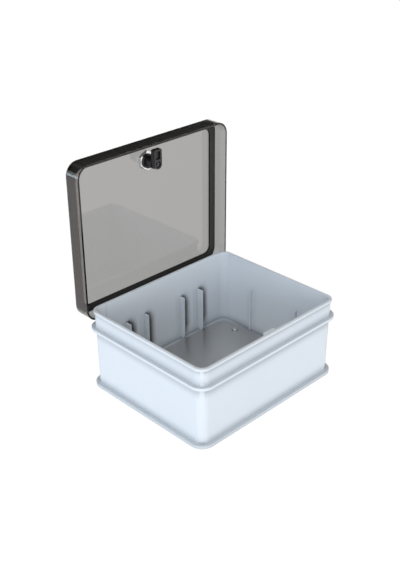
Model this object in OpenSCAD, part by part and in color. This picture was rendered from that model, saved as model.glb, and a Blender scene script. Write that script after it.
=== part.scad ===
// Hinged electrical box: a moulded base lying on its back and a smoked lid standing open on two pin hinges.
// Millimetres. X runs along the front, Y towards the hinges, Z up; the origin is the underside's middle.
// The lid and all it carries are drawn closed, then swung open about the hinge axis.

/* [Base] */
// Width between the outer wall faces
body_width = 286.4; // [250:0.2:340]
// Depth between the outer wall faces
body_depth = 236.8; // [210:0.2:290]
// Height of the rim above the underside
rim_height = 132.3; // [121:0.1:160]
// Corner radius of the outer walls
corner_radius = 14.3; // [12.5:0.1:17]
// Wall thickness below the collar
wall = 2.1; // [1.8:0.1:2.7]
// Floor thickness
floor_thickness = 2.4; // [2:0.1:3.6]
// Lean of each outer wall face between the upper flange and the underside
wall_draft = 1; // [0.4:0.1:1.6]

/* [Flanges and rim] */
// Reach of both flanges beyond the walls
flange_reach = 6.8; // [6.7:0.1:8.6]
// Thickness of the base flange
base_flange = 5.3; // [4:0.1:7]
// Thickness of the upper flange
upper_flange = 4.6; // [3.8:0.1:5.6]
// Height of the collar between the upper flange and the rim
collar_height = 28; // [26.8:0.1:32]
// Reach of the rim's lip beyond the walls
lip_reach = 2.2; // [1.5:0.1:2.6]
// Height of the lip
lip_height = 3.9; // [3:0.1:4.6]

/* [Inside] */
// Height of the wall ribs' tops
rib_top = 83; // [60:1:90]
// Thickness of a wall rib
rib_thickness = 2.8; // [2:0.1:3.8]
// Spacing of the ribs on the front and back walls
rib_pitch = 39.5; // [36:0.1:43]
// Reach of the inner pair of ribs on the front and back walls
inner_rib_reach = 8.6; // [6:0.1:11]
// Reach of the outer pair of ribs on the front and back walls
outer_rib_reach = 11.7; // [8:0.1:14]
// Distance of the side walls' ribs from the middle
side_rib_offset = 48; // [40:0.5:54]
// Reach of the side walls' ribs
side_rib_reach = 5.9; // [3:0.1:8]
// Rounding between the walls and the floor
floor_fillet = 3; // [1:0.5:4]
// Distance of the fixing holes from the outer wall faces
fixing_inset = 16.2; // [15:0.1:18]
// Radius of the fixing holes
fixing_radius = 3; // [2.2:0.1:3.4]

/* [Mounting plate] */
// Thickness of the mounting plate
plate_thickness = 1.5; // [1:0.1:2.5]
// Height of the bosses that carry the plate above the floor
plate_lift = 5.2; // [4:0.1:8]
// Gap between the plate and the side walls' ribs
plate_gap_x = 3.7; // [1:0.1:8]
// Gap between the plate and the longest ribs of the front and back walls
plate_gap_y = 1.2; // [0.5:0.1:4]
// Corner radius of the plate
plate_corner_radius = 27; // [24:0.5:32]
// Distance of the plate's screws from its side edges
plate_screw_inset_x = 15.3; // [12:0.1:24]
// Distance of the plate's screws from its front and back edges
plate_screw_inset_y = 39.5; // [30:0.5:44]
// Radius of the plate's screws
plate_screw_radius = 2; // [1.5:0.1:2.5]

/* [Lid] */
// Plate thickness
lid_plate = 2.9; // [2.4:0.1:3.8]
// Skirt thickness
lid_wall = 2.9; // [2.2:0.1:3.2]
// How far the closed skirt hangs below the rim
lid_overlap = 23.2; // [19:0.1:23.8]
// Corner radius of the lid's outline
lid_corner_radius = 21; // [19:0.5:23]
// Rounding between plate and skirt
lid_edge_radius = 3.8; // [3:0.1:4.6]
// Thickness of the flat seal
gasket_thickness = 3.2; // [2.4:0.1:4.2]
// Width of the flat seal
gasket_width = 11.8; // [9:0.1:13]

/* [Hinges] */
// Distance between the two hinges
hinge_spacing = 172; // [140:2:200]
// Length of the lid's knuckle
knuckle_length = 17; // [12:0.5:23]
// Length of each lug on the base
lug_length = 7.2; // [5:0.2:10]
// Outer radius of knuckles and lugs
knuckle_radius = 3.1; // [2.8:0.1:3.1]
// Radius of the hinge pins
pin_radius = 1.5; // [1.2:0.1:1.6]

/* [Lock] */
// Distance of the lock's axis from the lid's front edge
lock_setback = 34.4; // [33.6:0.1:35.2]
// Radius of the threaded barrel
barrel_radius = 11.3; // [10.8:0.1:11.8]
// Width of the hexagon nut across its flats
nut_flats = 28; // [26:0.2:29]
// Thickness of the hexagon nut
nut_thickness = 5.2; // [4:0.1:6]
// Reach of the outer head beyond the barrel
head_reach = 1.2; // [1:0.1:3]
// Height of the outer head
head_height = 1; // [0.8:0.1:1.6]
// Radius of the turning core
core_radius = 8.6; // [8:0.1:8.8]
// Width of the cam
cam_width = 14.9; // [13.6:0.1:16]
// Thickness of the cam
cam_thickness = 7.6; // [6.8:0.1:8.4]
// Distance from the lock's axis to the cam's tip
cam_reach = 23.8; // [23:0.1:24.2]
// Depth of the cam's underside below the lid's rim
cam_drop = 1.8; // [1:0.1:2.4]

/* [Hidden] */
$fn = 64;
hexagon = 6;
eps = 0.5;
// The lid stands open on its stop at a right angle
open_angle = 90;

// Fits
seal_gap = 0.3;
lid_setback = 0.1;
running_clearance = 0.05;
pin_hold = 0.02;
thread_clearance = 0.03;
hole_clearance = 0.2;
hinge_gap = 0.4;
stop_gap = 0.05;
catch_gap = 0.5;

// Base
half_x = body_width / 2;
half_y = body_depth / 2;
flange_top = rim_height - collar_height;
flange_bottom = flange_top - upper_flange;
collar_step = 0.4;
collar_x = half_x + collar_step;
collar_y = half_y + collar_step;
inner_x = half_x - wall;
inner_y = half_y - wall;
inner_radius = corner_radius - wall / 2;
inner_draft = 1.4 * wall_draft;
flange_radius = corner_radius + flange_reach;
lip_radius = corner_radius + lip_reach / 2;
lip_chamfer = 0.8;
fixing_x = half_x - fixing_inset;
fixing_y = half_y - fixing_inset;

// Mounting plate, its bosses and screws
plate_low = floor_thickness + plate_lift;
plate_high = plate_low + plate_thickness;
plate_x = inner_x - side_rib_reach - plate_gap_x;
plate_y = inner_y - outer_rib_reach - plate_gap_y;
plate_screw_x = plate_x - plate_screw_inset_x;
plate_screw_y = plate_y - plate_screw_inset_y;
boss_radius = 2.5 * plate_screw_radius;
bore_floor = 2.2;
bore_play = 0.5;
plate_head_radius = 2 * plate_screw_radius;
plate_head_height = 1.2 * plate_screw_radius;
plate_head_chamfer = 0.4 * plate_screw_radius;
recess_half = 1.1 * plate_screw_radius;
recess_width = 0.5 * plate_screw_radius;
recess_depth = 0.7 * plate_screw_radius;

// Lid
lid_x = half_x + flange_reach - lid_setback;
lid_y = half_y + flange_reach - lid_setback;
lid_rim = rim_height - lid_overlap;
plate_under = rim_height + seal_gap + gasket_thickness;
plate_top = plate_under + lid_plate;
gasket_play = 0.2;

// Hinges
hinge_inset = 2.9;
hinge_rise = 2.6;
axis_y = lid_y - hinge_inset;
axis_z = lid_rim + hinge_rise;
lug_start = knuckle_length / 2 + hinge_gap;
lug_end = lug_start + lug_length;
notch_rise = 1;
notch_top = axis_z + knuckle_radius + notch_rise;
gusset_height = 8.6;
gusset_in = 0.9 * knuckle_radius;
gusset_up = 0.4 * knuckle_radius;
stop_root = flange_bottom + eps;
stop_top = axis_z - hinge_inset - stop_gap;
stop_depth = 3;
stop_reach = 6;
pin_chamfer = 0.3;

// Lock, with heights of the closed lid
lock_y = lock_setback - lid_y;
head_radius = barrel_radius + head_reach;
seal_thickness = 0.4;
head_under = plate_top + seal_thickness;
head_top = head_under + head_height;
head_chamfer = 0.4;
cam_under = lid_rim - cam_drop;
cam_top = cam_under + cam_thickness;
thread_beyond_nut = 2.7;
barrel_end = plate_under - nut_thickness - thread_beyond_nut;
core_lip = 1;
core_head_radius = core_radius + core_lip;
core_head_height = 2;
drive_size = 7.6;
cam_pocket_depth = 2.9;
cam_seat = cam_under + cam_pocket_depth;
cam_hub = cam_width / 2;
cam_tip_radius = 2;
cam_pocket_wall = 3;
screw_radius = 1.5;
screw_head_radius = 2.8;
screw_head_height = 1.8;
screw_grip = 9;
washer_radius = 4.4;
washer_thickness = 0.6;
washer_play = 0.6;
seal_setback = 0.2;
socket_radius = 4;
socket_depth = 8.6;
socket_post_radius = socket_radius / 3;
socket_post_drop = 1;
nut_corner = nut_flats / 2 / cos(180 / hexagon);
nut_face_radius = 0.96 * nut_flats / 2;
nut_chamfer = 1.2;

// Catch for the cam, inside the front rim
catch_half = 11;
catch_reach = 6.2;
catch_skin = 1.9;
catch_drop = 1;
catch_top = rim_height - catch_drop;
catch_under = cam_top + catch_gap;

// Shapes

// A block with rounded corners, built round a flat core: the child is the outline of its edge,
// drawn from the core's face outwards and from the bottom up
module edged_block(hx, hy, r, z_low, z_high) {
    core_x = hx - r;
    core_y = hy - r;
    corners = [[core_x, core_y], [-core_x, core_y], [-core_x, -core_y], [core_x, -core_y]];
    span([-core_x, -core_y, z_low], [core_x, core_y, z_high]);
    translate([0, 0, z_low])
        for (quarter = [0 : 3]) {
            along_y = quarter % 2 == 0;
            rotate([0, 0, 90 * quarter])
                translate([along_y ? core_x : core_y, 0, 0])
                    rotate([90, 0, 0])
                        linear_extrude(2 * (along_y ? core_y : core_x), center = true)
                            children();
            translate(corners[quarter])
                rotate([0, 0, 90 * quarter])
                    rotate_extrude(angle = 90)
                        children();
        }
}

// A rounded block whose sides lean: each end's outline is drawn in by its own inset
module leaning_block(hx, hy, r, inset_low, inset_high, z_low, z_high) {
    tall = z_high - z_low;
    edged_block(hx, hy, r, z_low, z_high)
        polygon([[0, 0], [r - inset_low, 0], [r - inset_high, tall], [0, tall]]);
}

module block(hx, hy, r, z_low, z_high) {
    leaning_block(hx, hy, r, 0, 0, z_low, z_high);
}

// A rounded block with a true rounding along its top edge
module pillow(hx, hy, r, edge, z_low, z_high) {
    tall = z_high - z_low;
    edged_block(hx, hy, r, z_low, z_high) {
        union() {
            square([r - edge, tall]);
            square([r, tall - edge]);
            translate([r - edge, tall - edge])
                circle(edge);
        }
    }
}

module at_corners(x, y) {
    for (side_x = [-1, 1], side_y = [-1, 1])
        translate([side_x * x, side_y * y, 0])
            children();
}

module ring(outer, inner, z_low, z_high) {
    translate([0, 0, z_low])
        difference() {
            cylinder(r = outer, h = z_high - z_low);
            translate([0, 0, -eps])
                cylinder(r = inner, h = z_high - z_low + 2 * eps);
        }
}

// A box between two corners
module span(low, high) {
    translate(low)
        cube(high - low);
}

// A rod along X, on the hinge axis
module axis_rod(radius, x_low, x_high) {
    translate([x_low, axis_y, axis_z])
        rotate([0, 90, 0])
            cylinder(r = radius, h = x_high - x_low);
}

// A plate standing across X; its children are outlines in Y and Z
module cross_plate(x_low, x_high) {
    translate([x_low, 0, 0])
        rotate([90, 0, 90])
            linear_extrude(x_high - x_low)
                union()
                    children();
}

// The round of a knuckle or lug, for a cross plate
module knuckle_round() {
    translate([axis_y, axis_z])
        circle(knuckle_radius);
}

module swung_open() {
    translate([0, axis_y, axis_z])
        rotate([-open_angle, 0, 0])
            translate([0, -axis_y, -axis_z])
                children();
}

module on_lock_axis() {
    swung_open()
        translate([0, lock_y, 0])
            children();
}

// Base pieces

module base_shell() {
    leaning_block(half_x, half_y, corner_radius, wall_draft, 0, 0, flange_bottom + eps);
    base_x = half_x - wall_draft + flange_reach;
    base_y = half_y - wall_draft + flange_reach;
    block(base_x, base_y, flange_radius, 0, base_flange);
    block(half_x + flange_reach, half_y + flange_reach, flange_radius, flange_bottom, flange_top);
    block(collar_x, collar_y, corner_radius, flange_top - eps, rim_height - lip_height / 2);
    edged_block(half_x + lip_reach, half_y + lip_reach, lip_radius, rim_height - lip_height, rim_height)
        polygon([[0, 0], [lip_radius, 0], [lip_radius, lip_height - lip_chamfer],
                 [lip_radius - lip_chamfer, lip_height], [0, lip_height]]);
}

module base_hollow() {
    foot = floor_thickness + floor_fillet + eps;
    lean = inner_draft / (rim_height - foot);
    translate([0, 0, foot + eps])
        mirror([0, 0, 1])
            pillow(inner_x - inner_draft, inner_y - inner_draft, inner_radius - inner_draft, floor_fillet,
                   0, floor_fillet + 2 * eps);
    leaning_block(inner_x, inner_y, inner_radius, inner_draft, -lean * eps, foot, rim_height + eps);
}

// Ribs run from the floor up the walls; each starts inside the wall it stands on
module front_and_back_ribs() {
    root = inner_y + wall / 4;
    for (step = [1, 2], side_x = [-1, 1], side_y = [0, 1])
        mirror([0, side_y, 0]) {
            reach = step == 1 ? inner_rib_reach : outer_rib_reach;
            middle = side_x * step * rib_pitch;
            span([middle - rib_thickness / 2, inner_y - reach, floor_thickness - eps],
                 [middle + rib_thickness / 2, root, rib_top]);
        }
}

module side_ribs() {
    root = inner_x + wall / 4;
    for (side_y = [-1, 1], side_x = [0, 1])
        mirror([side_x, 0, 0]) {
            middle = side_y * side_rib_offset;
            span([inner_x - side_rib_reach, middle - rib_thickness / 2, floor_thickness - eps],
                 [root, middle + rib_thickness / 2, rib_top]);
        }
}

// Short posts on the floor that carry the mounting plate
module plate_bosses() {
    at_corners(plate_screw_x, plate_screw_y)
        translate([0, 0, floor_thickness - eps])
            cylinder(r = boss_radius, h = plate_lift + eps);
}

module boss_bores() {
    at_corners(plate_screw_x, plate_screw_y)
        translate([0, 0, bore_floor])
            cylinder(r = plate_screw_radius + thread_clearance, h = plate_low - bore_floor + eps);
}

// A hood open below: the cam bears on its lower edges
module catch_hood() {
    difference() {
        span([-catch_half, -inner_y - wall / 4, catch_under],
             [catch_half, catch_reach - inner_y, catch_top]);
        span([catch_skin - catch_half, -inner_y, catch_under - eps],
             [catch_half - catch_skin, catch_reach - catch_skin - inner_y, catch_top - catch_skin]);
    }
}

// Each lug rises from the upper flange; its nose behind the lid's outline is the stop for the open lid
module hinge_lug(x_low, x_high) {
    front = collar_y - wall / 4;
    back = axis_y + knuckle_radius;
    nose = lid_y + stop_reach;
    root = flange_top - eps;
    cross_plate(x_low, x_high) {
        knuckle_round();
        polygon([[front, root], [back, root], [back, axis_z], [front, axis_z]]);
        polygon([[half_y, stop_root], [lid_y, stop_root], [nose, stop_top - stop_depth],
                 [nose, stop_top], [half_y, stop_top]]);
    }
}

module at_hinges() {
    for (side = [-1, 1])
        translate([side * hinge_spacing / 2, 0, 0])
            children();
}

module base_box() {
    color([0.86, 0.89, 0.93])
        difference() {
            union() {
                difference() {
                    base_shell();
                    base_hollow();
                }
                front_and_back_ribs();
                side_ribs();
                plate_bosses();
                catch_hood();
                at_hinges() {
                    hinge_lug(-lug_end, -lug_start);
                    hinge_lug(lug_start, lug_end);
                }
            }
            at_hinges()
                axis_rod(pin_radius + pin_hold, -lug_end - eps, lug_end + eps);
            boss_bores();
            at_corners(fixing_x, fixing_y)
                translate([0, 0, -eps])
                    cylinder(r = fixing_radius, h = floor_thickness + 2 * eps);
        }
}

module mounting_plate() {
    color([0.62, 0.63, 0.65])
        difference() {
            block(plate_x, plate_y, plate_corner_radius, plate_low, plate_high);
            at_corners(plate_screw_x, plate_screw_y)
                translate([0, 0, plate_low - eps])
                    cylinder(r = plate_screw_radius + hole_clearance, h = plate_thickness + 2 * eps);
        }
}

// Pan-head screws with a cross recess
module plate_screws() {
    shank_end = bore_floor + bore_play;
    head_top_face = plate_high + plate_head_height;
    color([0.75, 0.76, 0.78])
        at_corners(plate_screw_x, plate_screw_y)
            difference() {
                union() {
                    translate([0, 0, shank_end])
                        cylinder(r = plate_screw_radius, h = plate_high - shank_end + eps);
                    translate([0, 0, plate_high])
                        cylinder(r = plate_head_radius, h = plate_head_height - plate_head_chamfer);
                    translate([0, 0, head_top_face - plate_head_chamfer])
                        cylinder(r1 = plate_head_radius, r2 = plate_head_radius - plate_head_chamfer,
                                 h = plate_head_chamfer);
                }
                for (turn = [0, 90])
                    rotate([0, 0, turn])
                        span([-recess_half, -recess_width / 2, head_top_face - recess_depth],
                             [recess_half, recess_width / 2, head_top_face + eps]);
            }
}

module hinge_pin(side) {
    color([0.72, 0.73, 0.74])
        translate([side * hinge_spacing / 2, axis_y, axis_z])
            rotate([0, 90, 0]) {
                straight = 2 * (lug_end - pin_chamfer);
                cylinder(r = pin_radius, h = straight, center = true);
                for (turn = [0, 180])
                    rotate([turn, 0, 0])
                        translate([0, 0, straight / 2])
                            cylinder(r1 = pin_radius, r2 = pin_radius - pin_chamfer, h = pin_chamfer);
            }
}

module hinge_pin_left() {
    hinge_pin(-1);
}

module hinge_pin_right() {
    hinge_pin(1);
}

// Lid pieces

module lid_shell() {
    difference() {
        pillow(lid_x, lid_y, lid_corner_radius, lid_edge_radius, lid_rim, plate_top);
        block(lid_x - lid_wall, lid_y - lid_wall, lid_corner_radius - lid_wall, lid_rim - eps, plate_under);
    }
}

// Gaps in the skirt that let the base's lugs through
module lug_notches() {
    at_hinges()
        for (side = [0, 1])
            mirror([side, 0, 0])
                span([knuckle_length / 2, collar_y, lid_rim - eps],
                     [lug_end + hinge_gap, lid_y + eps, notch_top]);
}

module lid_knuckle() {
    half = knuckle_length / 2;
    skirt_inside = lid_y - lid_wall;
    skirt_middle = lid_y - lid_wall / 2;
    cross_plate(-half, half) {
        knuckle_round();
        polygon([[axis_y - gusset_in, axis_z + gusset_up], [skirt_middle, axis_z],
                 [skirt_middle, axis_z + gusset_height], [skirt_inside, axis_z + gusset_height]]);
    }
}

module lid() {
    color([0.40, 0.38, 0.37, 0.55])
        swung_open()
            difference() {
                union() {
                    difference() {
                        lid_shell();
                        lug_notches();
                    }
                    at_hinges()
                        lid_knuckle();
                }
                at_hinges()
                    axis_rod(pin_radius + running_clearance, -knuckle_length, knuckle_length);
                translate([0, lock_y, plate_under - eps])
                    cylinder(r = barrel_radius + hole_clearance, h = lid_plate + 2 * eps);
            }
}

module lid_gasket() {
    outer_x = lid_x - lid_wall - gasket_play;
    outer_y = lid_y - lid_wall - gasket_play;
    outer_radius = lid_corner_radius - lid_wall - gasket_play;
    under = plate_under - gasket_thickness;
    color([0.1, 0.1, 0.1])
        swung_open()
            difference() {
                block(outer_x, outer_y, outer_radius, under, plate_under);
                block(outer_x - gasket_width, outer_y - gasket_width, outer_radius - gasket_width / 2,
                      under - eps, plate_under + eps);
            }
}

// Lock pieces

module lock_housing() {
    color([0.08, 0.08, 0.09])
        on_lock_axis()
            difference() {
                union() {
                    translate([0, 0, barrel_end])
                        cylinder(r = barrel_radius, h = head_under - barrel_end + eps);
                    translate([0, 0, head_under])
                        cylinder(r = head_radius, h = head_height - head_chamfer);
                    translate([0, 0, head_top - head_chamfer])
                        cylinder(r1 = head_radius, r2 = head_radius - head_chamfer, h = head_chamfer);
                }
                translate([0, 0, barrel_end - eps])
                    cylinder(r = core_radius + running_clearance, h = head_top - barrel_end + 2 * eps);
                translate([0, 0, head_top - core_head_height - running_clearance])
                    cylinder(r = core_head_radius + running_clearance, h = core_head_height + eps);
            }
}

module lock_seal() {
    color([0.12, 0.12, 0.12])
        on_lock_axis()
            ring(head_radius - seal_setback, barrel_radius + hole_clearance, plate_top, head_under);
}

// A hexagon nut, its corners rounded off towards the inside of the box
module lock_nut() {
    under = plate_under - nut_thickness;
    color([0.75, 0.76, 0.78])
        on_lock_axis()
            difference() {
                intersection() {
                    translate([0, 0, under])
                        rotate([0, 0, 90])
                            cylinder(r = nut_corner, h = nut_thickness, $fn = hexagon);
                    union() {
                        translate([0, 0, under - eps])
                            cylinder(r = nut_face_radius, h = 2 * eps);
                        translate([0, 0, under])
                            cylinder(r1 = nut_face_radius, r2 = nut_corner + eps, h = nut_chamfer);
                        translate([0, 0, under + nut_chamfer])
                            cylinder(r = nut_corner + eps, h = nut_thickness);
                    }
                }
                translate([0, 0, under - eps])
                    cylinder(r = barrel_radius + thread_clearance, h = nut_thickness + 2 * eps);
            }
}

// A square drive below carries the cam; the socket above takes a double-bit key
module lock_core() {
    head_under_face = head_top - core_head_height;
    bit_slot = 2.4;
    bit_reach = 5.6;
    color([0.2, 0.2, 0.21])
        on_lock_axis()
            difference() {
                union() {
                    translate([0, 0, cam_top])
                        cylinder(r = core_radius, h = head_top - cam_top - eps);
                    translate([0, 0, head_under_face])
                        cylinder(r = core_head_radius, h = core_head_height);
                    span([-drive_size / 2, -drive_size / 2, cam_seat + running_clearance],
                         [drive_size / 2, drive_size / 2, cam_top + eps]);
                }
                difference() {
                    union() {
                        translate([0, 0, head_top - socket_depth])
                            cylinder(r = socket_radius, h = socket_depth + eps);
                        span([-bit_reach, -bit_slot / 2, head_top - socket_depth],
                             [bit_reach, bit_slot / 2, head_top + eps]);
                    }
                    translate([0, 0, head_top - socket_depth - eps])
                        cylinder(r = socket_post_radius, h = socket_depth - socket_post_drop);
                }
                translate([0, 0, cam_seat - eps])
                    cylinder(r = screw_radius + thread_clearance, h = screw_grip + 2 * eps);
            }
}

module cam_outline() {
    cylinder(r = cam_hub, h = cam_thickness);
    tip = cam_reach - cam_tip_radius;
    span([-cam_hub, -tip, 0], [cam_hub, 0, cam_thickness]);
    span([cam_tip_radius - cam_hub, -cam_reach, 0], [cam_hub - cam_tip_radius, 0, cam_thickness]);
    for (side = [-1, 1])
        translate([side * (cam_hub - cam_tip_radius), -tip, 0])
            cylinder(r = cam_tip_radius, h = cam_thickness);
}

module lock_cam() {
    hole = drive_size / 2 + running_clearance;
    seat_radius = washer_radius + washer_play;
    pocket_half = cam_hub - cam_pocket_wall;
    color([0.09, 0.09, 0.1])
        on_lock_axis()
            difference() {
                translate([0, 0, cam_under])
                    cam_outline();
                span([-hole, -hole, cam_under - eps], [hole, hole, cam_top + eps]);
                translate([0, 0, cam_under - eps])
                    cylinder(r = seat_radius, h = cam_pocket_depth + eps);
                span([-pocket_half, cam_pocket_wall - cam_reach, cam_under - eps],
                     [pocket_half, -seat_radius - cam_pocket_wall, cam_seat]);
            }
}

module cam_washer() {
    color([0.7, 0.7, 0.72])
        on_lock_axis()
            ring(washer_radius, screw_radius + hole_clearance, cam_seat - washer_thickness, cam_seat);
}

module cam_screw() {
    head_low = cam_seat - washer_thickness - screw_head_height;
    slot_width = 0.8;
    color([0.68, 0.69, 0.7])
        on_lock_axis()
            difference() {
                union() {
                    translate([0, 0, head_low])
                        cylinder(r = screw_head_radius, h = screw_head_height);
                    translate([0, 0, head_low])
                        cylinder(r = screw_radius, h = cam_seat + screw_grip - head_low);
                }
                span([-screw_head_radius - eps, -slot_width / 2, head_low - eps],
                     [screw_head_radius + eps, slot_width / 2, head_low + screw_head_height / 2]);
            }
}

base_box();
mounting_plate();
plate_screws();
lid();
lid_gasket();
hinge_pin_left();
hinge_pin_right();
lock_housing();
lock_seal();
lock_nut();
lock_core();
lock_cam();
cam_washer();
cam_screw();
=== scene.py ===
"""Looks of the hinged electrical box: camera, studio, and one procedural material per finish."""

import math
from collections import namedtuple

import bpy
from mathutils import Matrix, Vector


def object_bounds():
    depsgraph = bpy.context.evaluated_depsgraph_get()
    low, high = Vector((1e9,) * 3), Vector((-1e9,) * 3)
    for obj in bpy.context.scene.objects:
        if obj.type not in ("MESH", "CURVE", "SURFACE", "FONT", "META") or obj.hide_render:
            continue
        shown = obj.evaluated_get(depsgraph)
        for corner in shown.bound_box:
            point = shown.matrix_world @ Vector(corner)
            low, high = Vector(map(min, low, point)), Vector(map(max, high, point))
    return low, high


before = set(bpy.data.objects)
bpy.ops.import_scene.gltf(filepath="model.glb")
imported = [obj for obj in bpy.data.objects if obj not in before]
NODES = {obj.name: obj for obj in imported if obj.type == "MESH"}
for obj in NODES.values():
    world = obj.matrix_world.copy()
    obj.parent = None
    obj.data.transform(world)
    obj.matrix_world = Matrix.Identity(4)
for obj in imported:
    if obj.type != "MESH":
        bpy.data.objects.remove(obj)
cad_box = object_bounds()

# Camera found from the straight edges in the photograph
IMAGE_HEIGHT = 570
FOCAL_PIXELS = 896.6
SENSOR_SIZE = 36.0
CLIP_NEAR = 0.05
CLIP_FAR = 200.0
CAMERA_AZIMUTH_DEG = -44.43
CAMERA_ELEVATION_DEG = 28.25
CAMERA_ROLL = math.radians(-0.31)
CAMERA_PLACE = Vector((-0.84663, -0.83364, 0.80262))

# Colours of the finishes; the smoke's tint is what its sheet lets through
SHELL_GREY = (0.74, 0.805, 0.88)
LOCK_BLACK = (0.012, 0.012, 0.014)
ZINC_GREY = (0.575, 0.56, 0.54)
BRIGHT_PLATING = (0.78, 0.79, 0.81)
BLACKENED_STEEL = (0.09, 0.09, 0.1)
DRAWN_STEEL = (0.60, 0.60, 0.61)
# Foam: greyer on its faces along Y, almost black on its side faces
FOAM_FACE_GREY = (0.045, 0.045, 0.044)
FOAM_SIDE_BLACK = (0.005, 0.005, 0.005)
SMOKE_TINT = (0.137, 0.129, 0.114, 1.0)
SMOKE_DENSITY = 345.0
SMOKE_SHEEN = (1.0, 0.9, 0.85, 1.0)
WHITE = (1.0, 1.0, 1.0, 1.0)

# Refraction of moulded plastic and rubber, and of the clear sheet
PLASTIC_IOR = 1.5
SHEET_IOR = 1.585

# Radii of the softened edges
MOULDED_EDGE = 0.0003
METAL_EDGE = 0.0002

# Range of a share and of a noise, how much gloss varies with it, and how scratches are drawn out
SHARE_RANGE = (0.0, 1.0)
NOISE_RANGE = (0.3, 0.7)
GLOSS_VARIATION = 0.05
EVEN = (1.0, 1.0, 1.0)
DRAWN_ALONG_X = (0.05, 1.0, 1.0)

# Contrast of the shell's flow marks and the foam's pores, and roughness of the sheet's haze
FLOW_CONTRAST = (0.985, 1.01)
PORE_CONTRAST = (0.8, 1.2)
HAZE_GLOSS = (0.015, 0.03)

# Square of the normal's Y part, over which the foam changes from its almost black side faces to its greyer
# faces along Y
ALONG_Y_LIMITS = (0.3, 0.7)

# Samples taken for soft edges and for openness
EDGE_SAMPLES = 4
OPENNESS_SAMPLES = 16

# Shade painted where a surface is shut in: what it leaves of the colour, how far it looks around, the
# openness at which it is full and at which it ends, and the lean towards the light that its normal gets
Shade = namedtuple("Shade", "left reach closed free lean", defaults=(None,))
CREVICE = Shade(left=0.80, reach=0.014, closed=0.78, free=0.98)
UNDER_FLANGE = Shade(left=0.55, reach=0.020, closed=0.36, free=0.73, lean=(0.0, 0.0, 1.6))
BESIDE_RIBS = Shade(left=0.10, reach=0.024, closed=0.62, free=0.79, lean=(-1.0, 0.0, 0.0))
TRENCH = Shade(left=0.60, reach=0.022, closed=0.60, free=0.85)
SCREW_RING = Shade(left=0.20, reach=0.005, closed=0.60, free=0.98)

# Planes within the thickness of the base's walls, counted from the edges of its flanges
FLANGE_TO_WALL_X = 0.0090
FLANGE_TO_WALL_Y = 0.0089
INSIDE_HALF_X = cad_box[1][0] - FLANGE_TO_WALL_X
INSIDE_HALF_Y = -cad_box[0][1] - FLANGE_TO_WALL_Y

# Least openness of the crevices inside the base, and of the places under the flange that face the key light
INSIDE_LEAST = 0.5
LIT_LEAST = 0.55

# Limits of the normal's X, Z and Y parts for faces towards the key light, upwards and to the front
LIT_FACING = (-0.95, -0.6)
UP_FACING = (0.3, 0.7)
FRONT_FACING = (-0.9, -0.5)

# Openness that the base's floor takes from the walls' feet, and heights over which that is made up for
FLOOR_SHARE = 0.42
FLOOR_HEIGHTS = (0.009, 0.027)

# Heights over which the trench beside the plate ends, and shares of the half width where the corners begin
TRENCH_HEIGHTS = (0.006, 0.010)
CORNER_SHARES = (0.75, 0.85)

# Floor: it glows for the light that it sends up, and a little more where it is seen
FLOOR_HALF = 30.0
FLOOR_DROP = 0.0005
FLOOR_GLOW = 0.78
FLOOR_SEEN = 0.95
FLOOR_FAINT = (0.13, 0.13, 0.13, 1.0)

# Sky: levels, and the heights on the unit dome over which each part fades
HORIZON_LEVEL = 1.8
HORIZON_FADE = (0.06, 0.10)
BAND_LEVEL = 1.8
BAND_FADE = (0.28, 0.40)
UPPER_LEVEL = 0.75
UPPER_FADE = (0.5, 0.65)
OVERHEAD_LEVEL = 0.58
OVERHEAD_FADE = (0.62, 0.76)
DIM_LEVEL = 0.04

# White backdrop, which ends low so that the lid's top skirt still mirrors the dim sky
BACKDROP_LEVEL = 1.0
BACKDROP_FADE = (0.304, 0.307)

# Sideways limits over which the sky's low band ends, and over which its tint turns to the left one
RIGHT_FADE = (0.2, 0.6)
BACK_FADE = (0.1, 0.5)
LEFT_FADE = (-0.9, -0.3)
SKY_LEFT = (1.10, 1.22, 1.32, 1.0)
SKY_FRONT = (1.15, 1.14, 1.12, 1.0)
SKY_TOP = (1.19, 1.11, 1.02, 1.0)

# Lamps: angles in degrees, and the place above the floor that they are aimed at
Lamp = namedtuple("Lamp", "name azimuth elevation distance size power colour")
LAMPS = (
    Lamp("key", azimuth=-62, elevation=40, distance=2.4, size=0.7, power=11.7, colour=(0.97, 0.985, 1.0)),
    Lamp("edge", azimuth=-140, elevation=7, distance=2.0, size=0.4, power=1.5, colour=(0.6, 0.82, 1.0)),
)
LAMP_AIM = Vector((0.0, 0.0, 0.1))


def direction(azimuth_deg, elevation_deg):
    """Unit vector from the object towards a place on the studio's dome; azimuth 0 is the front."""
    azimuth = math.radians(azimuth_deg)
    elevation = math.radians(elevation_deg)
    flat = math.cos(elevation)
    return Vector((math.sin(azimuth) * flat, -math.cos(azimuth) * flat, math.sin(elevation)))


def make_camera():
    """The photograph's camera; its sensor size spans the picture's height, the longer side."""
    data = bpy.data.cameras.new("photo_camera")
    data.sensor_width = SENSOR_SIZE
    data.lens = FOCAL_PIXELS * SENSOR_SIZE / IMAGE_HEIGHT
    data.clip_start = CLIP_NEAR
    data.clip_end = CLIP_FAR
    back = direction(CAMERA_AZIMUTH_DEG, CAMERA_ELEVATION_DEG)
    right = Vector((0, 0, 1)).cross(back).normalized()
    up = back.cross(right)
    rolled_right = math.cos(CAMERA_ROLL) * right + math.sin(CAMERA_ROLL) * up
    rolled_up = math.cos(CAMERA_ROLL) * up - math.sin(CAMERA_ROLL) * right
    place = Matrix((rolled_right, rolled_up, back)).transposed().to_4x4()
    place.translation = CAMERA_PLACE
    camera = bpy.data.objects.new("photo_camera", data)
    bpy.context.scene.collection.objects.link(camera)
    camera.matrix_world = place
    bpy.context.scene.camera = camera


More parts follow.
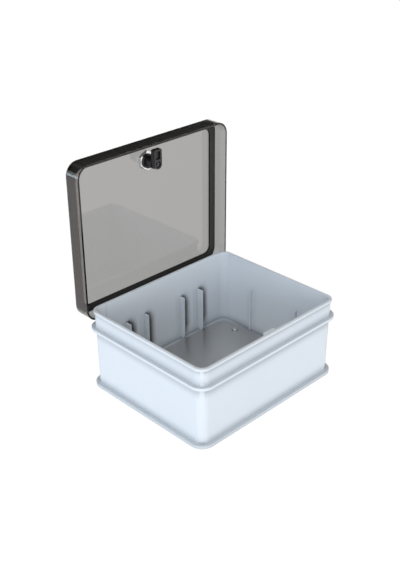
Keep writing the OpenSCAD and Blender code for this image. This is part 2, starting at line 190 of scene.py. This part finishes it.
class Tree:
    """Short way to add and join shader nodes."""

    def __init__(self, owner):
        owner.use_nodes = True
        self.nodes = owner.node_tree.nodes
        self.links = owner.node_tree.links
        self.nodes.clear()

    def add(self, kind, settings=None, **inputs):
        """Add a node; an input's name is written with _ for each space."""
        node = self.nodes.new(kind)
        for name, value in (settings or {}).items():
            setattr(node, name, value)
        for name, value in inputs.items():
            self.put(self.find(node, name.replace("_", " ")), value)
        return node

    def add_numbered(self, kind, settings, *inputs):
        """Add a node whose inputs are told apart only by their order."""
        node = self.add(kind, settings)
        for socket, value in zip(node.inputs, inputs):
            self.put(socket, value)
        return node

    def put(self, socket, value):
        """Set an input, or join it to another node's output."""
        if isinstance(value, bpy.types.NodeSocket):
            self.links.new(value, socket)
        else:
            socket.default_value = value

    @staticmethod
    def find(node, name):
        for socket in node.inputs:
            if socket.name.lower() == name.lower() and socket.enabled:
                return socket
        raise KeyError(name)

    def place(self, kind="Object"):
        return self.add("ShaderNodeTexCoord").outputs[kind]

    def facing(self):
        return self.add("ShaderNodeNewGeometry").outputs["Normal"]

    def split(self, vector):
        return self.add("ShaderNodeSeparateXYZ", Vector=vector).outputs

    def noise(self, scale, detail, roughness=0.5, stretch=None):
        """Noise fixed to the object; a stretch below 1 draws it out along that axis."""
        place = self.place()
        if stretch is not None:
            place = self.add("ShaderNodeMapping", Vector=place, Scale=stretch).outputs["Vector"]
        node = self.add("ShaderNodeTexNoise", Vector=place, Scale=scale, Detail=detail, Roughness=roughness)
        return node.outputs["Fac"]

    def spread(self, value, low, high, limits):
        """Go from low to high while the value goes from the first limit to the second."""
        start, end = limits
        node = self.add("ShaderNodeMapRange", Value=value, From_Min=start, From_Max=end,
                        To_Min=low, To_Max=high)
        return node.outputs["Result"]

    def blend(self, share, first, second):
        node = self.add("ShaderNodeMix", {"data_type": "RGBA"}, Factor=share, A=first, B=second)
        return next(socket for socket in node.outputs if socket.enabled)

    def math(self, operation, *values):
        return self.add_numbered("ShaderNodeMath", {"operation": operation}, *values).outputs[0]

    def vector_math(self, operation, *values):
        return self.add_numbered("ShaderNodeVectorMath", {"operation": operation}, *values).outputs[0]

    def largest(self, first, *others):
        for other in others:
            first = self.math("MAXIMUM", first, other)
        return first

    def bump(self, height, strength, distance, normal=None):
        node = self.add("ShaderNodeBump", Height=height, Strength=strength, Distance=distance)
        if normal is not None:
            self.put(node.inputs["Normal"], normal)
        return node.outputs["Normal"]

    def soft_edges(self, radius):
        return self.add("ShaderNodeBevel", {"samples": EDGE_SAMPLES}, Radius=radius).outputs["Normal"]

    def openness(self, shade, extra=None):
        """0 where the surface is shut in by what lies within the shade's reach, 1 where it is free."""
        node = self.add("ShaderNodeAmbientOcclusion", {"samples": OPENNESS_SAMPLES}, Distance=shade.reach)
        if shade.lean is not None:
            leaning = self.vector_math("ADD", self.facing(), shade.lean)
            self.put(node.inputs["Normal"], self.vector_math("NORMALIZE", leaning))
        value = node.outputs["AO"]
        if extra is not None:
            value = self.math("ADD", value, extra)
        return self.spread(value, 0.0, 1.0, (shade.closed, shade.free))

    def output(self, surface, volume=None):
        node = self.add("ShaderNodeOutputMaterial", Surface=surface)
        if volume is not None:
            self.put(node.inputs["Volume"], volume)


def new_material(name):
    material = bpy.data.materials.new(name)
    return material, Tree(material)


def shades(colour, factor):
    return tuple(channel * factor for channel in colour) + (1.0,)


def shaded_tone(tree, colour, clean):
    """The clean tone with shade beside steps, under the flange, beside the ribs and beside the plate."""
    place = tree.split(tree.place())
    facing = tree.split(tree.facing())
    wide = tree.math("DIVIDE", tree.math("ABSOLUTE", place["X"]), INSIDE_HALF_X)
    deep = tree.math("DIVIDE", tree.math("ABSOLUTE", place["Y"]), INSIDE_HALF_Y)
    outside = tree.math("GREATER_THAN", tree.largest(wide, deep), 1.0)
    inside = tree.math("SUBTRACT", 1.0, outside)

    flush = tree.largest(tree.openness(CREVICE), tree.math("MULTIPLY", inside, INSIDE_LEAST))
    creviced = tree.blend(flush, shades(colour, CREVICE.left), clean)

    to_light = tree.spread(facing["X"], LIT_LEAST, 0.0, LIT_FACING)
    looks_up = tree.spread(facing["Z"], 0.0, 1.0, UP_FACING)
    exposed = tree.largest(tree.openness(UNDER_FLANGE), inside, to_light, looks_up)
    sheltered = tree.blend(exposed, shades(colour, UNDER_FLANGE.left), creviced)

    near_floor = tree.spread(place["Z"], FLOOR_SHARE, 0.0, FLOOR_HEIGHTS)
    near_corner = tree.spread(wide, 0.0, 1.0, CORNER_SHARES)
    other_face = tree.spread(facing["Y"], 0.0, 1.0, FRONT_FACING)
    lit = tree.largest(tree.openness(BESIDE_RIBS, near_floor), outside, near_corner, other_face)
    windward = tree.blend(lit, shades(colour, BESIDE_RIBS.left), sheltered)

    high = tree.spread(place["Z"], 0.0, 1.0, TRENCH_HEIGHTS)
    open_floor = tree.largest(tree.openness(TRENCH), high, outside)
    return tree.blend(open_floor, shades(colour, TRENCH.left), windward)


def moulded_plastic(name, colour, roughness):
    """Satin moulding: a fine spark-eroded grain, faint flow marks, soft edges and shaded crevices."""
    material, tree = new_material(name)
    grain = tree.noise(scale=2600.0, detail=2.0)
    flow = tree.spread(tree.noise(scale=9.0, detail=3.0, roughness=0.6), 0.0, 1.0, NOISE_RANGE)
    clean = tree.blend(flow, *(shades(colour, factor) for factor in FLOW_CONTRAST))
    tone = shaded_tone(tree, colour, clean)
    gloss = tree.spread(grain, roughness - GLOSS_VARIATION, roughness + GLOSS_VARIATION, NOISE_RANGE)
    normal = tree.bump(grain, strength=0.12, distance=0.00006, normal=tree.soft_edges(MOULDED_EDGE))
    shader = tree.add("ShaderNodeBsdfPrincipled", Base_Color=tone, Roughness=gloss, Normal=normal,
                      IOR=PLASTIC_IOR)
    tree.output(shader.outputs["BSDF"])
    return material


def smoked_plastic(name):
    """Clear smoked sheet: light is lost along its way through, so edges look almost black."""
    material, tree = new_material(name)
    haze = tree.noise(scale=60.0, detail=3.0, roughness=0.6)
    gloss = tree.spread(haze, *HAZE_GLOSS, NOISE_RANGE)
    shader = tree.add("ShaderNodeBsdfPrincipled", Base_Color=WHITE, Roughness=gloss, IOR=SHEET_IOR,
                      Transmission_Weight=1.0, Specular_Tint=SMOKE_SHEEN)
    volume = tree.add("ShaderNodeVolumeAbsorption", Color=SMOKE_TINT, Density=SMOKE_DENSITY)
    tree.output(shader.outputs["BSDF"], volume.outputs["Volume"])
    return material


def seal_rubber(name):
    """Matt foam rubber with fine open pores: greyer on its faces along Y and almost black on its side faces.
    """
    material, tree = new_material(name)
    pores = tree.noise(scale=1400.0, detail=3.0, roughness=0.7)
    speckle = tree.spread(pores, 0.0, 1.0, NOISE_RANGE)
    face_tone = tree.blend(speckle, *(shades(FOAM_FACE_GREY, factor) for factor in PORE_CONTRAST))
    facing_y = tree.split(tree.place("Normal"))["Y"]
    faces_along_y = tree.spread(tree.math("MULTIPLY", facing_y, facing_y), 0.0, 1.0, ALONG_Y_LIMITS)
    # The side faces are drawn almost black and the faces along Y greyer
    tone = tree.blend(faces_along_y, shades(FOAM_SIDE_BLACK, 1.0), face_tone)
    normal = tree.bump(pores, strength=0.3, distance=0.0001)
    shader = tree.add("ShaderNodeBsdfPrincipled", Base_Color=tone, Roughness=0.8, Normal=normal,
                      IOR=PLASTIC_IOR)
    tree.output(shader.outputs["BSDF"])
    return material


def metal(name, colour, gloss_range, stretch=EVEN, shade=None):
    """Bright metal with fine scratches, shaded where it is shut in if a shade is given."""
    material, tree = new_material(name)
    scratches = tree.noise(scale=1500.0, detail=2.0, stretch=stretch)
    gloss = tree.spread(scratches, *gloss_range, NOISE_RANGE)
    normal = tree.bump(scratches, strength=0.05, distance=0.00004, normal=tree.soft_edges(METAL_EDGE))
    tone = shades(colour, 1.0)
    if shade is not None:
        tone = tree.blend(tree.openness(shade), shades(colour, shade.left), tone)
    shader = tree.add("ShaderNodeBsdfPrincipled", Base_Color=tone, Metallic=1.0, Roughness=gloss,
                      Normal=normal)
    tree.output(shader.outputs["BSDF"])
    return material


def dress(material, *names):
    for name in names:
        slots = NODES[name].data.materials
        slots.clear()
        slots.append(material)


def dress_part():
    dress(moulded_plastic("grey_shell", SHELL_GREY, roughness=0.42), "base_box")
    dress(metal("galvanised_plate", ZINC_GREY, gloss_range=(0.28, 0.38), shade=SCREW_RING), "mounting_plate")
    dress(smoked_plastic("smoked_sheet"), "lid")
    dress(seal_rubber("foam_rubber"), "lid_gasket", "lock_seal")
    dress(moulded_plastic("black_moulding", LOCK_BLACK, roughness=0.35),
          "lock_housing", "lock_core", "lock_cam")
    dress(metal("bright_plating", BRIGHT_PLATING, gloss_range=(0.06, 0.14)), "plate_screws", "lock_nut")
    dress(metal("blackened_steel", BLACKENED_STEEL, gloss_range=(0.25, 0.4)), "cam_washer", "cam_screw")
    dress(metal("drawn_steel", DRAWN_STEEL, gloss_range=(0.2, 0.35), stretch=DRAWN_ALONG_X),
          "hinge_pin_left", "hinge_pin_right")


def background_share(tree):
    """1 for rays that look at the white surroundings, 0 for those that gather light."""
    path = tree.add("ShaderNodeLightPath").outputs
    return tree.largest(path["Is Camera Ray"], path["Is Transmission Ray"], path["Is Glossy Ray"])


def make_floor():
    mesh = bpy.data.meshes.new("studio_floor")
    corners = [(-1, -1), (1, -1), (1, 1), (-1, 1)]
    mesh.from_pydata([(x * FLOOR_HALF, y * FLOOR_HALF, 0.0) for x, y in corners], [], [(0, 1, 2, 3)])
    floor = bpy.data.objects.new("studio_floor", mesh)
    bpy.context.scene.collection.objects.link(floor)
    floor.location.z = -FLOOR_DROP
    material, tree = new_material("studio_white")
    faint = tree.add("ShaderNodeBsdfDiffuse", Color=FLOOR_FAINT)
    glow = tree.spread(background_share(tree), FLOOR_GLOW, FLOOR_SEEN, SHARE_RANGE)
    white = tree.add("ShaderNodeEmission", Color=WHITE, Strength=glow)
    shown = tree.add_numbered("ShaderNodeAddShader", None, white.outputs[0], faint.outputs[0])
    tree.output(shown.outputs[0])
    mesh.materials.append(material)


def make_sky():
    """A thin bright horizon all round, a wide low band in front and at the left, and a soft top."""
    world = bpy.data.worlds.new("studio_sky")
    bpy.context.scene.world = world
    tree = Tree(world)
    place = tree.split(tree.place("Generated"))
    height = place["Z"]
    not_right = tree.spread(place["X"], 1.0, 0.0, RIGHT_FADE)
    not_back = tree.spread(place["Y"], 1.0, 0.0, BACK_FADE)
    near_side = tree.math("MULTIPLY", not_right, not_back)
    upper = tree.spread(height, UPPER_LEVEL, DIM_LEVEL, UPPER_FADE)
    band = tree.largest(tree.spread(height, BAND_LEVEL, 0.0, BAND_FADE), upper)
    horizon = tree.spread(height, HORIZON_LEVEL, DIM_LEVEL, HORIZON_FADE)
    overhead = tree.spread(height, DIM_LEVEL, OVERHEAD_LEVEL, OVERHEAD_FADE)
    studio = tree.largest(horizon, tree.math("MULTIPLY", band, near_side), overhead)
    low = tree.spread(height, 1.0, 0.0, BACKDROP_FADE)
    backdrop = tree.math("MULTIPLY", background_share(tree), low)
    level = tree.spread(backdrop, studio, BACKDROP_LEVEL, SHARE_RANGE)
    tint = tree.blend(tree.spread(place["X"], 1.0, 0.0, LEFT_FADE), SKY_FRONT, SKY_LEFT)
    is_top = tree.spread(height, 0.0, 1.0, OVERHEAD_FADE)
    colour = tree.blend(is_top, tint, SKY_TOP)
    light = tree.add("ShaderNodeBackground", Color=colour, Strength=level)
    tree.add("ShaderNodeOutputWorld", Surface=light.outputs[0])


def add_lamp(lamp):
    data = bpy.data.lights.new(lamp.name, "AREA")
    data.shape = "DISK"
    data.size = lamp.size
    data.energy = lamp.power
    data.color = lamp.colour
    holder = bpy.data.objects.new(lamp.name, data)
    bpy.context.scene.collection.objects.link(holder)
    away = direction(lamp.azimuth, lamp.elevation)
    holder.location = away * lamp.distance + LAMP_AIM
    holder.rotation_mode = "QUATERNION"
    holder.rotation_quaternion = away.to_track_quat("Z", "Y")


def light_studio():
    make_floor()
    make_sky()
    for lamp in LAMPS:
        add_lamp(lamp)


make_camera()
dress_part()
light_studio()
bpy.context.scene.view_settings.view_transform = "Standard"
